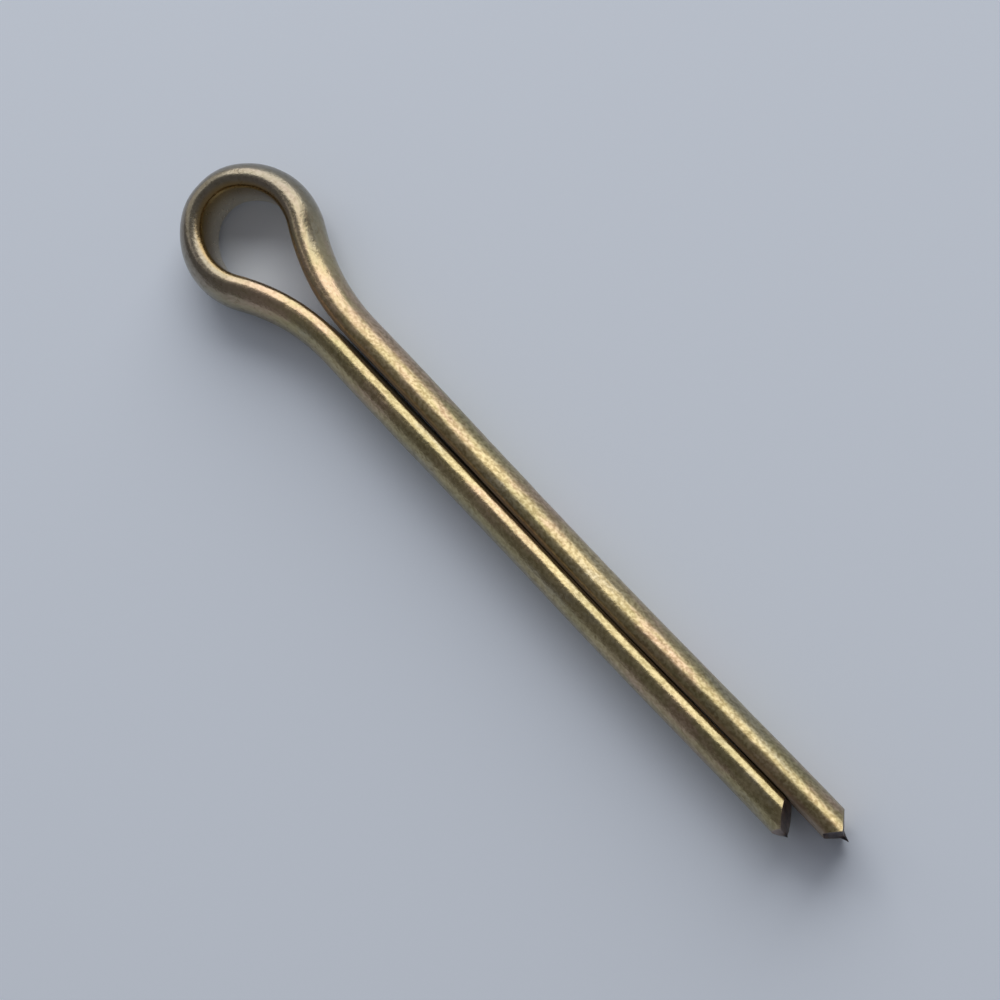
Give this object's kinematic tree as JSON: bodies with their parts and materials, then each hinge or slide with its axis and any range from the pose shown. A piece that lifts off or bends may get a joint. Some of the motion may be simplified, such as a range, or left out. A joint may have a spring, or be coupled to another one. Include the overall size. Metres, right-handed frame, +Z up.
{
  "type": "cotter pin",
  "caption": "Split cotter pin bent from half-round wire, with a teardrop eye and a long and a short leg, for locking a nut or a clevis pin.",
  "frame": {"origin": "on the shank's axis, where the two legs start to run parallel, at half of the pin's height as it lies flat", "axes": "+X along the shank towards the tips, so the eye is at -X; +Z up, square to the plane that the pin is bent in; the long leg is on the +Y side"},
  "size_m": [0.0549, 0.0082, 0.0034],
  "materials": {
    "zinc_yellow": "yellow chromate over zinc, semi-gloss, olive to gold, with dark sheared ends"
  },
  "bodies": {
    "root": {"cotter_pin": "zinc_yellow"}
  },
  "joints": []
}
